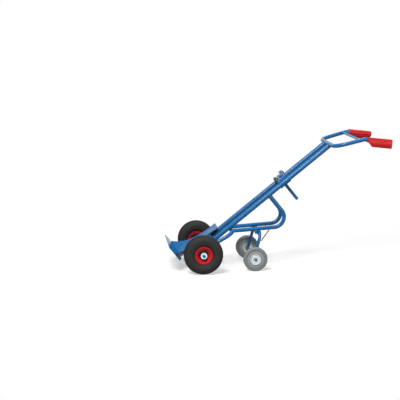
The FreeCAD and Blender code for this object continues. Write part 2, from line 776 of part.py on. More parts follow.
# Support wheels
for side, sign, way in SIDES:
    base = ("%s + wheelbase" % AXLE_X, "%s * support_track / 2" % sign, "support_d / 2")
    body = new_body("support_tyre_" + side)
    sketch = new_sketch(body, "support_tyre_section_" + side, "YZ_Plane")
    band = ("support_rim_d / 2 + support_ring", "support_d / 2 - support_w / 5 - support_ring")
    outline(sketch, (
        ("-support_w / 2", "support_rim_d / 2"),
        ("-support_w / 2", band[0]),
        ("support_dip - support_w / 2", band[0]),
        ("support_dip - support_w / 2", band[1]),
        ("-support_w / 2", band[1]),
        ("-support_w / 2", "support_d / 2 - support_w / 5"),
        ("-support_w / 4", "support_d / 2", "support_w / 4", -1),
        ("support_w / 4", "support_d / 2"),
        ("support_w / 2", "support_d / 2 - support_w / 5", "support_w / 4", -1),
        ("support_w / 2", band[1]),
        ("support_w / 2 - support_dip", band[1]),
        ("support_w / 2 - support_dip", band[0]),
        ("support_w / 2", band[0]),
        ("support_w / 2", "support_rim_d / 2"),
    ))
    turned(body, "support_tyre_turn_" + side, sketch)
    place(body, base, "0")
    keep(body, "support_tyre_" + side)
    halves = []
    for end, mark in (("in", 1), ("out", -1)):
        half = new_body("support_rim_%s_%s" % (end, side))
        sketch = new_sketch(half, "support_rim_section_%s_%s" % (end, side), "YZ_Plane")
        outline(sketch, [("%d * (%s)" % (mark, across), along) for across, along in (
            ("0", "support_rim_d / 2 - stop_gap"),
            ("support_w * lip_share", "support_rim_d / 2 - stop_gap"),
            ("support_w * lip_share", "support_rim_d / 2 - rim_wall"),
            ("support_w * disc_share", "support_disc_d / 2 - rim_wall"),
            ("support_w * disc_share", "support_hub_d / 2 + axle_fit"),
            ("support_w * disc_share - rim_wall * sheet_share", "support_hub_d / 2 + axle_fit"),
            ("support_w * disc_share - rim_wall * sheet_share", "support_disc_d / 2 - rim_wall / 2"),
            ("support_w * shoulder_share", "support_rim_d / 2 - rim_wall * band_share"),
            ("0", "support_rim_d / 2 - rim_wall * band_share"),
        )])
        turned(half, "support_rim_turn_%s_%s" % (end, side), sketch)
        halves.append(half)
    rim = group("support_rim_pair_" + side, halves)
    place(rim, base, "0")
    keep(rim, "support_rim_" + side)
    hub = tube("support_hub_tube_" + side, "support_hub_d",
               "(support_hub_d / 2 - support_bolt_d / 2 - axle_fit)", "support_hub_len", "Y",
               ("0", "-support_hub_len / 2", "0"))
    place(hub, base, "0")
    keep(hub, "support_hub_" + side)
doc.recompute()

# Support fork, hinged under the straight run of the loops
RUN_X, RUN_Z = world(BOW_BACK, "bow_up")
FAR_X, FAR_Z = world("loop_reach", "loop_up")
SLOPE = "((%s - (%s)) / (%s - (%s)))" % (FAR_Z, RUN_Z, FAR_X, RUN_X)
PIVOT_X = "(%s + fork_pivot)" % AXLE_X
RUN_AT = "(%s + (%%s - (%s)) * %s)" % (RUN_Z, RUN_X, SLOPE)
RUN_DROP = "(loop_d / 2 + fork_d / 2 + fork_drop) * sqrt(1 + %s ^ 2)" % SLOPE
PIVOT_Z = "(%s - %s)" % (RUN_AT % PIVOT_X, RUN_DROP)
FORK_DX = "(fork_pivot - wheelbase)"
FORK_DZ = "(%s - support_d / 2)" % PIVOT_Z
FORK_LONG = "sqrt(%s ^ 2 + %s ^ 2)" % (FORK_DX, FORK_DZ)
FORK_TURN = "atan(%s / %s) / 1 deg" % (FORK_DX, FORK_DZ)
PIVOT = (PIVOT_X, "0", PIVOT_Z)
FORK_FEET = "(support_track / 2 - fork_inset)"
FORK_STEP = "((fork_half - %s) / %s)" % (FORK_FEET, FORK_LONG)
LEG_OUT = "(fork_d / 2 * sqrt(1 + %s ^ 2))" % FORK_STEP
LUG_HALF = "(fork_half - lug_drop * %s)" % FORK_STEP
body = new_body("fork_bent")
path = new_sketch(body, "fork_path", "YZ_Plane")
bent_path(path, (
    ("0", "0"),
    ("fork_half", "0"),
    ("%s - fork_foot * %s" % (FORK_FEET, FORK_STEP), "-%s - fork_foot" % FORK_LONG),
), "fork_bend")
profile = new_sketch(body, "fork_profile", "XZ_Plane")
ring(profile, "0", "0", "fork_d / 2")
ring(profile, "0", "0", "fork_d / 2 - fork_wall")
doc.recompute()
half = piped(body, "fork_half_tube", profile, path)
doc.recompute()
mirrored(body, "fork_whole", half, "XZ_Plane")
hole = rod("fork_bolt_hole", "support_bolt_d / 2 + axle_fit", "4 * fork_half", "Y",
           ("0", "-2 * fork_half", "-%s" % FORK_LONG))
fork = cut("fork_tube", body, [hole])
place(fork, PIVOT, FORK_TURN)
keep(fork, "fork_tube")

# Bearings round the crossbar of the fork, coped to the loops
for side, sign, way in SIDES:
    name = "fork_bearing_" + side
    low = "%s * spine_pitch / 2 - bearing_len / 2" % sign
    outer = rod(name + "_outer", "fork_d / 2 + fork_fit + bearing_wall", "bearing_len", "Y", (PIVOT_X, low, PIVOT_Z))
    inner = rod(name + "_bore", "fork_d / 2 + fork_fit", "bearing_len", "Y", (PIVOT_X, low, PIVOT_Z))
    run = doc.addObject("Part::Cylinder", name + "_run")
    bind(run, "Radius", "loop_d / 2 + weld_gap")
    bind(run, "Height", "fork_pivot * 2")
    place(run, (RUN_X, "%s * spine_pitch / 2" % sign, RUN_Z), "90 - atan(%s) / 1 deg" % SLOPE)
    keep(cut(name, outer, [inner, run]), name)
doc.recompute()


# Stop tabs on the fork under stop pads on the loops, which end the swing at rest
PAD_LOW = "(%s + tab_thick / 2 + stop_gap)" % PIVOT_Z
PAD_LONG = "(tab_reach - fork_d / 2 - fork_fit - bearing_wall - stop_gap)"
pads = []
tabs = []
for side, sign, way in SIDES:
    near = "spine_pitch / 2 + bearing_len / 2 + stop_gap * 3"
    low = near if way > 0 else "-(%s) - tab_len" % near
    slab = block("stop_tab_slab_" + side, ("tab_reach", "tab_len", "tab_thick"),
                 ("%s - tab_reach" % PIVOT_X, low, "%s - tab_thick / 2" % PIVOT_Z))
    cope = rod("stop_tab_cope_" + side, "fork_d / 2 + weld_gap", "2 * tab_len", "Y",
               (PIVOT_X, "%s - tab_len / 2" % low, PIVOT_Z))
    tabs.append(cut("stop_tab_" + side, slab, [cope]))
    inner = "spine_pitch / 2"
    low = inner if way > 0 else "-(%s) - tab_len" % inner
    slab = block("stop_pad_slab_" + side, (PAD_LONG, "tab_len + bearing_len / 2", "loop_d / 2 + tab_thick"),
                 ("%s - tab_reach" % PIVOT_X, low if way > 0 else "%s - bearing_len / 2" % low, PAD_LOW))
    run = doc.addObject("Part::Cylinder", "stop_pad_run_" + side)
    bind(run, "Radius", "loop_d / 2 + weld_gap")
    bind(run, "Height", "fork_pivot * 2")
    place(run, (RUN_X, "%s * spine_pitch / 2" % sign, RUN_Z), "90 - atan(%s) / 1 deg" % SLOPE)
    pads.append(cut("stop_pad_" + side, slab, [run]))
keep(group("stop_pad_pair", pads), "stop_pads")
keep(group("stop_tab_pair", tabs), "stop_tabs")


# Headed pegs that hold the springs: upright under the loops and square to the fork legs
ANCHOR_X = "(%s + anchor_ahead)" % PIVOT_X
ANCHOR_Z = "(%s - loop_d / 2 * sqrt(1 + %s ^ 2) - weld_gap)" % (RUN_AT % ANCHOR_X, SLOPE)
anchors = []
lugs = []
for side, sign, way in SIDES:
    across = "%s * spine_pitch / 2" % sign
    stem = rod("anchor_stem_" + side, "peg_d / 2", "peg_len", "Z", (ANCHOR_X, across, "%s - peg_len" % ANCHOR_Z))
    cap = rod("anchor_cap_" + side, "peg_head_d / 2", "peg_head", "Z", (ANCHOR_X, across, "%s - peg_len" % ANCHOR_Z))
    anchors.append(fuse("anchor_" + side, [stem, cap]))
    across = "%s * %s" % (sign, LUG_HALF)
    stem = rod("lug_stem_" + side, "peg_d / 2", "peg_len", "X", ("fork_d / 2 + weld_gap", across, "-lug_drop"))
    cap = rod("lug_cap_" + side, "peg_head_d / 2", "peg_head", "X",
              ("fork_d / 2 + weld_gap + peg_len - peg_head", across, "-lug_drop"))
    lugs.append(fuse("lug_" + side, [stem, cap]))
keep(group("spring_anchor_pair", anchors), "spring_anchors")
lug_pair = group("spring_lug_pair", lugs)
place(lug_pair, PIVOT, FORK_TURN)
keep(lug_pair, "spring_lugs")


# Two arcs that leave one point along its direction and reach the next along its own
def two_arcs(start, ahead, stop, onward):
    gap = stop - start
    both = ahead + onward
    flat = 1 - ahead.dot(onward)
    if flat < 1e-9:
        return [Part.LineSegment(start, stop).toShape()]
    reach = (math.sqrt(gap.dot(both) ** 2 + 2 * flat * gap.dot(gap)) - gap.dot(both)) / (2 * flat)
    first = start + ahead * reach
    second = stop - onward * reach
    join = (first + second) / 2
    edges = []
    for begin, knee, finish in ((start, first, join), (join, second, stop)):
        middle = (begin + finish) / 2
        rise = (knee - middle).Length
        if rise < 1e-6:
            edges.append(Part.LineSegment(begin, finish).toShape())
            continue
        half = (finish - begin).Length / 2
        sag = half * math.tan(math.atan2(rise, half) / 2)
        edges.append(Part.Arc(begin, middle + (knee - middle).normalize() * sag, finish).toShape())
    return edges


# Return springs: hook, unbroken curls, hook, along one centre line of arcs
turns = int(num("coil_turns"))
curl = num("coil_d / 2 - wire_d / 2")
eye = num("hook_r")
lead = num("coil_lead")
swing = Rotation(Vector(0, 1, 0), num(FORK_TURN))
pivot = Vector(num(PIVOT_X), 0, num(PIVOT_Z))
for side, sign, way in SIDES:
    top = Vector(num(ANCHOR_X), way * num("spine_pitch / 2"), num("%s - peg_len / 2" % ANCHOR_Z))
    lug = Vector(num("fork_d / 2 + weld_gap + peg_len / 2"), way * num(LUG_HALF), num("-lug_drop"))
    low = pivot + swing.multVec(lug)
    along = low - top
    span = along.Length
    along.normalize()
    posts = (Vector(0, 0, 1), swing.multVec(Vector(1, 0, 0)))
    sides = [(post - along * post.dot(along)).normalize().cross(along) for post in posts]
    out = sides[0]
    up = along.cross(out)
    frames = []
    for angle in (-100, -50, 0, 45, 90):
        turn = math.radians(angle)
        spot_at = top - along * eye * math.cos(turn) + out * eye * math.sin(turn)
        frames.append((spot_at, along * math.sin(turn) + out * math.cos(turn)))
    pitch = (span - 2 * lead) / turns
    rise = pitch / (2 * math.pi * curl)
    for quarter in range(4 * turns + 1):
        turn = quarter * math.pi / 2 + math.pi / 2
        radial = out * math.cos(turn) + up * math.sin(turn)
        round_about = up * math.cos(turn) - out * math.sin(turn)
        spot_at = top + along * (lead + pitch * quarter / 4) + radial * curl
        frames.append((spot_at, (round_about + along * rise).normalize()))
    out = sides[1]
    for angle in (90, 45, 0, -50, -100):
        turn = math.radians(angle)
        spot_at = low + along * eye * math.cos(turn) + out * eye * math.sin(turn)
        frames.append((spot_at, along * math.sin(turn) - out * math.cos(turn)))
    edges = []
    for (start, ahead), (stop, onward) in zip(frames, frames[1:]):
        edges += two_arcs(start, ahead, stop, onward)
    wire = Part.Wire(edges)
    spring = doc.addObject("Part::Feature", "return_spring_" + side)
    spring.Shape = swept(wire, num("wire_d / 2"), frames[0][0], frames[0][1])
    keep(spring, "return_spring_" + side)
    print("spring", side, "span", round(span, 1), "gap between curls", round(pitch - num("wire_d"), 2))

# Bolts, nuts and washers of the support wheels
bolts = []
nuts = []
washers = []
AXLE_AT = ("%s + wheelbase" % AXLE_X, "support_d / 2")
for side, sign, way in SIDES:
    head_at = "%s - %s - weld_gap" % (FORK_FEET, LEG_OUT)
    long = "support_track / 2 + support_hub_len / 2 + support_over - (%s)" % head_at
    low = head_at if way > 0 else "-(%s) - (%s)" % (head_at, long)
    shank = rod("support_shank_" + side, "support_bolt_d / 2", long, "Y", (AXLE_AT[0], low, AXLE_AT[1]))
    cap = doc.addObject("Part::Prism", "support_head_" + side)
    cap.Polygon = 6
    bind(cap, "Circumradius", "support_bolt_d * hex_share")
    bind(cap, "Height", "support_bolt_d * head_share")
    low = "%s - support_bolt_d * head_share" % head_at if way > 0 else "-(%s)" % head_at
    spot(cap, (AXLE_AT[0], low, AXLE_AT[1]), "Y")
    bolts.append(fuse("support_bolt_" + side, [shank, cap]))
    start = "support_track / 2 + support_hub_len / 2 + stop_gap"
    low = start if way > 0 else "-(%s) - washer_thick" % start
    outer = rod("support_disc_" + side, "support_bolt_d", "washer_thick", "Y", (AXLE_AT[0], low, AXLE_AT[1]))
    inner = rod("support_disc_bore_" + side, "support_bolt_d / 2 + axle_fit", "washer_thick", "Y",
                (AXLE_AT[0], low, AXLE_AT[1]))
    washers.append(cut("support_washer_" + side, outer, [inner]))
    start = "%s + washer_thick" % start
    low = start if way > 0 else "-(%s) - support_bolt_d * nut_share" % start
    nut = doc.addObject("Part::Prism", "support_nut_block_" + side)
    nut.Polygon = 6
    bind(nut, "Circumradius", "support_bolt_d * hex_share")
    bind(nut, "Height", "support_bolt_d * nut_share")
    spot(nut, (AXLE_AT[0], low, AXLE_AT[1]), "Y")
    inner = rod("support_nut_bore_" + side, "support_bolt_d / 2 + axle_fit / 2", "support_bolt_d * nut_share", "Y",
                (AXLE_AT[0], low, AXLE_AT[1]))
    nuts.append(cut("support_nut_" + side, nut, [inner]))
    start = "%s + %s + weld_gap" % (FORK_FEET, LEG_OUT)
    long = "support_track / 2 - support_hub_len / 2 - stop_gap - (%s)" % start
    low = start if way > 0 else "-(%s) - (%s)" % (start, long)
    outer = rod("support_sleeve_" + side, "support_bolt_d * nut_share", long, "Y", (AXLE_AT[0], low, AXLE_AT[1]))
    inner = rod("support_sleeve_bore_" + side, "support_bolt_d / 2 + axle_fit", long, "Y",
                (AXLE_AT[0], low, AXLE_AT[1]))
    washers.append(cut("support_spacer_" + side, outer, [inner]))
keep(group("support_bolt_pair", bolts), "support_bolts")
keep(group("support_nut_pair", nuts), "support_nuts")
keep(group("support_washer_set", washers), "support_washers")
doc.recompute()

# Hook slider: two plates clamped over guide bars that run between the spine tubes
BACK_X = "(spine_back + spine_d / 2 + slide_gap)"
FRONT_X_IN = "(spine_back - spine_d / 2 - slide_gap)"
FACE_X = "(%s - front_thick)" % FRONT_X_IN
LOW_FACE = "(%s - front_low)" % FRONT_X_IN
BAR_OUT = "(spine_pitch / 2 - spine_d / 2 - slide_gap)"
BOLT_Y = "(%s - bar_w / 2)" % BAR_OUT
HOOK_LOW = "(slide_low + hook_rise)"
HOOK_TOP = "(slide_low + hook_rise + hook_tall)"
HOOK_TIP = "(%s - hook_drop)" % HOOK_TOP
LEVER_UP = "(slide_low + slide_tall * lever_share)"
BUFFER_UP = "(slide_low + buffer_rise)"
holes = []
bolts = []
nuts = []
for side, sign, way in SIDES:
    for level, face, up in (("low", LOW_FACE, "slide_low + bolt_inset"),
                            ("high", FACE_X, "slide_low + slide_tall - bolt_inset")):
        name = "%s_%s" % (side, level)
        at = (face, "%s * %s" % (sign, BOLT_Y), up)
        clamp = "(%s + back_thick - %s)" % (BACK_X, face)
        holes.append(rod("clamp_hole_" + name, "bolt_d / 2 + axle_fit", clamp, "X", at))
        shank = rod("clamp_shank_" + name, "bolt_d / 2", "%s + bolt_d" % clamp, "X",
                    ("%s - bolt_d" % face, at[1], at[2]))
        cap = doc.addObject("Part::Prism", "clamp_head_" + name)
        cap.Polygon = 6
        bind(cap, "Circumradius", "bolt_head_d / 2")
        bind(cap, "Height", "bolt_head")
        spot(cap, ("%s + back_thick" % BACK_X, at[1], at[2]), "X")
        bolts.append(fuse("clamp_bolt_" + name, [shank, cap]))
        nut = doc.addObject("Part::Prism", "clamp_nut_block_" + name)
        nut.Polygon = 6
        bind(nut, "Circumradius", "bolt_head_d / 2")
        bind(nut, "Height", "bolt_d * nut_share")
        spot(nut, ("%s - bolt_d * nut_share" % face, at[1], at[2]), "X")
        bore = rod("clamp_nut_bore_" + name, "bolt_d / 2 + axle_fit / 2", "bolt_d", "X",
                   ("%s - bolt_d" % face, at[1], at[2]))
        nuts.append(cut("clamp_nut_" + name, nut, [bore]))
drill = group("clamp_holes", holes)
hook_holes = []
hook_bolts = []
HOOK_BOLT_UP = "%s + bolt_head_d * hook_hole_share" % HOOK_LOW
for side, sign, way in SIDES:
    at = ("%s - hook_thick" % FACE_X, "%s * hook_w / 4" % sign, HOOK_BOLT_UP)
    hook_holes.append(rod("hook_hole_" + side, "bolt_d / 2 + axle_fit", "hook_thick + front_thick", "X", at))
    shank = rod("hook_shank_" + side, "bolt_d / 2", "hook_thick + front_thick", "X", at)
    cap = doc.addObject("Part::Prism", "hook_cap_" + side)
    cap.Polygon = 6
    bind(cap, "Circumradius", "bolt_head_d / 2")
    bind(cap, "Height", "bolt_head")
    spot(cap, ("%s - bolt_head" % at[0], at[1], at[2]), "X")
    hook_bolts.append(fuse("hook_bolt_" + side, [shank, cap]))
drill_hook = group("hook_holes", hook_holes)
plate = block("back_blank", ("back_thick", "2 * slide_half", "slide_tall"), (BACK_X, "-slide_half", "slide_low"))
seat(cut("slider_back", plate, [drill]), "slider_back_plate")
body = new_body("front_blank")
sketch = new_sketch(body, "front_section", "XZ_Plane", "-slide_half")
outline(sketch, (
    (FRONT_X_IN, "slide_low"),
    (FRONT_X_IN, "slide_low + slide_tall"),
    (FACE_X, "slide_low + slide_tall"),
    (FACE_X, "slide_low + front_step"),
    (LOW_FACE, "slide_low + front_step"),
    (LOW_FACE, "slide_low"),
))
pad(body, "front_pad", sketch, "2 * slide_half")
seat(cut("slider_front", body, [drill, drill_hook]), "slider_front_plate")
bars = []
for side, sign, way in SIDES:
    low = "%s - bar_w" % BAR_OUT if way > 0 else "-%s" % BAR_OUT
    bar = block("side_bar_blank_" + side, ("spine_d + 2 * slide_gap", "bar_w", "slide_tall"),
                (FRONT_X_IN, low, "slide_low"))
    bars.append(cut("side_bar_" + side, bar, [drill]))
seat(group("side_bar_pair", bars), "slider_side_bars")
seat(group("clamp_bolt_set", bolts), "slider_bolts")
seat(group("clamp_nut_set", nuts), "slider_nuts")
LEVER_AT = ("%s + back_thick" % BACK_X, "0", LEVER_UP)
LEVER_LONG = "lever_tip - %s - back_thick" % BACK_X
seat(tube("lever", "lever_d", "lever_wall", LEVER_LONG, "X", LEVER_AT), "lever_tube")
stem = rod("plug_stem", "lever_d / 2 - lever_wall - axle_fit", "lever_d / 2", "X", ("lever_tip - lever_d / 2", "0", LEVER_UP))
cap = rod("plug_cap", "lever_d / 2", "lever_wall", "X", ("lever_tip", "0", LEVER_UP))
seat(fuse("plug", [stem, cap]), "lever_plug")

# Rim hook, a bent flat bar that takes hold of the load from above
ARCH_Z = "(%s - hook_thick - hook_mouth / 2)" % HOOK_TOP
ARCH_X = "(%s - hook_thick - hook_mouth / 2)" % FACE_X
body = new_body("drum_hook_bar")
sketch = new_sketch(body, "hook_outline", "XZ_Plane", "-hook_w / 2")
outline(sketch, (
    (FACE_X, HOOK_LOW),
    (FACE_X, ARCH_Z),
    (ARCH_X, HOOK_TOP, "hook_thick + hook_mouth / 2", 1),
    ("%s - 2 * hook_thick - hook_mouth" % FACE_X, ARCH_Z, "hook_thick + hook_mouth / 2", 1),
    ("%s - 2 * hook_thick - hook_mouth" % FACE_X, HOOK_TIP),
    ("%s - hook_thick - hook_mouth" % FACE_X, HOOK_TIP),
    ("%s - hook_thick - hook_mouth" % FACE_X, ARCH_Z),
    (ARCH_X, "%s - hook_thick" % HOOK_TOP, "hook_mouth / 2", -1),
    ("%s - hook_thick" % FACE_X, ARCH_Z, "hook_mouth / 2", -1),
    ("%s - hook_thick" % FACE_X, HOOK_LOW),
))
pad(body, "hook_pad", sketch, "hook_w")
seat(cut("drum_hook", body, [drill_hook]), "drum_hook")
seat(group("hook_bolt_pair", hook_bolts), "hook_bolts")
cheeks = []
for side, sign, way in SIDES:
    body = new_body("hook_cheek_" + side)
    low = "hook_w / 2 + stop_gap" if way > 0 else "-hook_w / 2 - stop_gap - cheek_thick"
    sketch = new_sketch(body, "cheek_outline_" + side, "XZ_Plane", "-(%s) - cheek_thick" % low)
    outline(sketch, (
        (FACE_X, HOOK_LOW),
        (FACE_X, ARCH_Z),
        ("%s - hook_thick" % FACE_X, "%s - hook_mouth / 2" % ARCH_Z),
        ("%s - hook_thick" % FACE_X, HOOK_LOW),
    ))
    pad(body, "cheek_pad_" + side, sketch, "cheek_thick")
    cheeks.append(body)
seat(group("hook_cheek_pair", cheeks), "hook_cheeks")

# Rubber buffers on the ends of a rod that two ears carry
ROD_X = "(%s - weld_gap - buffer_d / 2)" % LOW_FACE
EAR_OUT = "(ear_gap / 2 + cheek_thick)"
BUFFER_IN = "(%s + stop_gap)" % EAR_OUT
EAR_DEEP = "(weld_gap + buffer_d / 2 + rod_d / 2 + ear_wall)"
buffers = []
ears = []
for side, sign, way in SIDES:
    body = new_body("buffer_sleeve_" + side)
    sketch = new_sketch(body, "buffer_section_" + side, "YZ_Plane")
    outline(sketch, [("%d * (%s)" % (way, across), along) for across, along in (
        (BUFFER_IN, "rod_d / 2 + axle_fit"),
        (BUFFER_IN, "buffer_d / 2 - buffer_edge"),
        ("%s + buffer_edge" % BUFFER_IN, "buffer_d / 2"),
        ("%s + buffer_len - buffer_edge" % BUFFER_IN, "buffer_d / 2"),
        ("%s + buffer_len" % BUFFER_IN, "buffer_d / 2 - buffer_edge"),
        ("%s + buffer_len" % BUFFER_IN, "rod_d / 2 + axle_fit"),
    )])
    turned(body, "buffer_turn_" + side, sketch)
    place(body, (ROD_X, "0", BUFFER_UP), "0")
    buffers.append(body)
    low = "ear_gap / 2" if way > 0 else "-%s" % EAR_OUT
    ear = block("ear_blank_" + side, (EAR_DEEP, "cheek_thick", "ear_tall"),
                ("%s - %s" % (LOW_FACE, EAR_DEEP), low, "%s - ear_tall / 2" % BUFFER_UP))
    bore = rod("ear_bore_" + side, "rod_d / 2 + axle_fit", "cheek_thick", "Y", (ROD_X, low, BUFFER_UP))
    ears.append(cut("ear_" + side, ear, [bore]))
seat(group("buffer_pair", buffers), "rubber_buffer")
ROD_HALF = "(%s + buffer_len + rod_over)" % BUFFER_IN
bar = rod("rod_bar", "rod_d / 2", "2 * %s" % ROD_HALF, "Y", (ROD_X, "-%s" % ROD_HALF, BUFFER_UP))
seat(group("rod_whole", [bar]), "buffer_rod")
seat(group("ear_pair", ears), "buffer_ears")

doc.recompute()
for thing in doc.Objects:
    if "Invalid" in thing.State or "Error" in thing.State:
        raise RuntimeError("%s did not build" % thing.Name)
os.makedirs("parts", exist_ok=True)
for thing in NODES:
    shape = thing.Shape
    if shape.isNull() or not shape.isValid() or not shape.Solids:
        raise RuntimeError("%s has no sound shape" % thing.Label)
    shape.exportStep("parts/%s.step" % thing.Label)
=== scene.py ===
import json
import math

import bmesh
import bpy
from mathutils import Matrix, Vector


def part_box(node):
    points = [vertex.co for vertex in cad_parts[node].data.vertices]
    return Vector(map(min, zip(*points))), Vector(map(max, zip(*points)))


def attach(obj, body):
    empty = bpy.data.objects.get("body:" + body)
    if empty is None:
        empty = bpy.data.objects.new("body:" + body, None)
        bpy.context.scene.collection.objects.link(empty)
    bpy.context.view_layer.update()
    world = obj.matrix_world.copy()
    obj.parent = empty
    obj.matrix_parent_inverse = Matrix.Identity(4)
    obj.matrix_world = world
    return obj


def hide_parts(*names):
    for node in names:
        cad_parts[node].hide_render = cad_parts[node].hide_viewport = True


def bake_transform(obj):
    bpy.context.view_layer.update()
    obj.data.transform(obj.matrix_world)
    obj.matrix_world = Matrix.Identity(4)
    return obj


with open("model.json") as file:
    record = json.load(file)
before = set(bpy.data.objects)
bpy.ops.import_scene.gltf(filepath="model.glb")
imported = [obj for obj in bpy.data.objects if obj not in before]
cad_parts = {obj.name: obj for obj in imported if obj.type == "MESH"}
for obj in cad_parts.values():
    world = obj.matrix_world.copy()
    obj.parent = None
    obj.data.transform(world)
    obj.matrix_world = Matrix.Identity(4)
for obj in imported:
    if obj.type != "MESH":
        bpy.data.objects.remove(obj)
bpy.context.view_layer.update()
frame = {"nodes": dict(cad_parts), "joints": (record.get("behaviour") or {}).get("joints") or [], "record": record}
SIDES = (("left", -1), ("right", 1))
MM = 0.001


def joint_place(name):
    """Where a joint turns, on the trolley's middle plane, in metres."""
    row = next(joint for joint in frame["joints"] if joint["name"] == name)
    return Vector((row["pos_m"][0], 0, row["pos_m"][2]))


# Places and directions on the trolley in the shared frame
LEAN = math.radians(51)
AXLE = joint_place("main_wheel_left_spin")
SUPPORT_AXLE = joint_place("support_wheel_left_spin")
FORK_PIVOT = joint_place("support_fork_swing")
SHAFT = Vector((math.sin(LEAN), 0, math.cos(LEAN)))
REARWARD = Vector((math.cos(LEAN), 0, -math.sin(LEAN)))
ACROSS = Vector((0, 1, 0))
UPWARD = Vector((0, 0, 1))


def on_trolley(back, across, up):
    """A place given in millimetres behind the axle, to the side and up the shaft."""
    return AXLE + (REARWARD * back + ACROSS * across + SHAFT * up) * MM


def new_object(name, data):
    made = bpy.data.objects.new(name, data)
    bpy.context.scene.collection.objects.link(made)
    return made


class Flow:
    """A node's output used in plain arithmetic; each sum or product adds a Math node."""

    def __init__(self, shading, socket):
        self.shading = shading
        self.socket = socket

    def maths(self, operation, *values):
        return self.shading.node("ShaderNodeMath", {"operation": operation}, dict(enumerate(values)))

    def __add__(self, other):
        return self.maths("ADD", self, other)

    def __radd__(self, other):
        return self.maths("ADD", other, self)

    def __sub__(self, other):
        return self.maths("SUBTRACT", self, other)

    def __rsub__(self, other):
        return self.maths("SUBTRACT", other, self)

    def __mul__(self, other):
        return self.maths("MULTIPLY", self, other)

    def __rmul__(self, other):
        return self.maths("MULTIPLY", other, self)

    def sin(self):
        return self.maths("SINE", self)

    def root(self):
        return self.maths("SQRT", self)

    def clamped(self):
        """The value held between nought and one."""
        return self.shading.node("ShaderNodeClamp", {}, {"Value": self})


# Sockets of the nodes that mix two colours or two shaders, and the rays that show the background
MIX_SHARE = 0
MIX_FIRST = 6
MIX_SECOND = 7
MIX_COLOUR = 2
SHADER_SHARE = 0
SHADER_FIRST = 1
SHADER_SECOND = 2
SEEN_RAYS = ("Is Camera Ray", "Is Glossy Ray", "Is Transmission Ray")


class Shading:
    """The shader nodes of one material or of the world."""

    def __init__(self, owner):
        owner.use_nodes = True
        self.tree = owner.node_tree
        self.tree.nodes.clear()

    def feed(self, socket, value):
        if isinstance(value, Flow):
            self.tree.links.new(value.socket, socket)
        elif socket.type == "RGBA":
            socket.default_value = (*value, 1)
        else:
            socket.default_value = value

    def node(self, kind, settings, sockets, out=0):
        """A new node: its settings first, then the values or links of its sockets."""
        made = self.tree.nodes.new(kind)
        for key, value in settings.items():
            setattr(made, key, value)
        for key, value in sockets.items():
            self.feed(made.inputs[key], value)
        return Flow(self, made.outputs[out]) if len(made.outputs) else None

    def seen(self):
        """One on rays that show the background, straight, in gloss or through glass; nought on light."""
        return sum(self.node("ShaderNodeLightPath", {}, {}, ray) for ray in SEEN_RAYS).clamped()


class Finish(Shading):
    """One material, with procedural nodes that feed its shader."""

    def __init__(self, name):
        self.material = bpy.data.materials.new(name)
        super().__init__(self.material)

    def place(self):
        return self.node("ShaderNodeTexCoord", {}, {}, "Object")

    def axes(self):
        place = self.place()
        return [self.node("ShaderNodeSeparateXYZ", {}, {"Vector": place}, axis) for axis in ("X", "Y", "Z")]

    def along_shaft(self, across, along):
        """The place turned to run with the shaft and stretched, so that streaks lie along it."""
        x, y, z = self.axes()
        up = x * SHAFT.x + z * SHAFT.z
        back = x * REARWARD.x + z * REARWARD.z
        return self.node("ShaderNodeCombineXYZ", {}, {"X": back * across, "Y": y * across, "Z": up * along})

    def reach(self, axle):
        """Distance from a wheel's axle, in metres."""
        x, _, z = self.axes()
        out = x - axle.x
        up = z - axle.z
        return (out * out + up * up).root()

    def noise(self, scale, detail, rough=0.5, at=None):
        sockets = {"Vector": at or self.place(), "Scale": scale, "Detail": detail, "Roughness": rough}
        return self.node("ShaderNodeTexNoise", {}, sockets, "Fac")

    def step(self, value, low, high):
        """A soft step, from nought at the low value to one at the high one."""
        sockets = {"Value": value, "From Min": low, "From Max": high}
        return self.node("ShaderNodeMapRange", {"interpolation_type": "SMOOTHSTEP"}, sockets)

    def band(self, value, rise, fall):
        """One between two soft steps, and nought outside them."""
        return self.step(value, *rise) * (1 - self.step(value, *fall))

    def mixed(self, share, first, second):
        sockets = {MIX_SHARE: share, MIX_FIRST: first, MIX_SECOND: second}
        return self.node("ShaderNodeMix", {"data_type": "RGBA"}, sockets, MIX_COLOUR)

    def bump(self, height, strength, distance):
        sockets = {"Strength": strength, "Distance": distance, "Height": height}
        return self.node("ShaderNodeBump", {}, sockets)

    def shader(self, sockets):
        return self.node("ShaderNodeBsdfPrincipled", {}, sockets)

    def covered(self, surface):
        self.node("ShaderNodeOutputMaterial", {}, {"Surface": surface})
        return self.material

    def coated(self, ior, colour, roughness, normal, metallic=0):
        """The material, once all that feeds its shader is made."""
        return self.covered(self.shader({"IOR": ior, "Base Color": colour, "Roughness": roughness,
                                         "Normal": normal, "Metallic": metallic}))


# Blue powder coat: colours, the share of each change, and how far each dulls the gloss
DEEP_BLUE = (0.002, 0.07, 0.198)
CLEAR_BLUE = (0.004, 0.102, 0.26)
DUSTY_BLUE = (0.12, 0.24, 0.42)
RUBBED_BLUE = (0.015, 0.17, 0.4)
PRIMER_GREY = (0.14, 0.16, 0.18)
PAINT_IOR = 1.27
PAINT_ROUGHNESS = 0.17
DUST_SHARE = 0.05
DUST_DULLS = 0.12
CHIP_EDGE = (0.735, 0.75)
CHIP_SHARE = 0.4
CHIP_DULLS = 0.3
STREAK_EDGE = (0.52, 0.72)
STREAK_SHARE = 0.35
STREAK_DULLS = 0.06
# Where the clamp slides on the spine, in metres up the shaft from the axle
SLIDE_TRACK = ((0.58, 0.66), (0.95, 1.09))


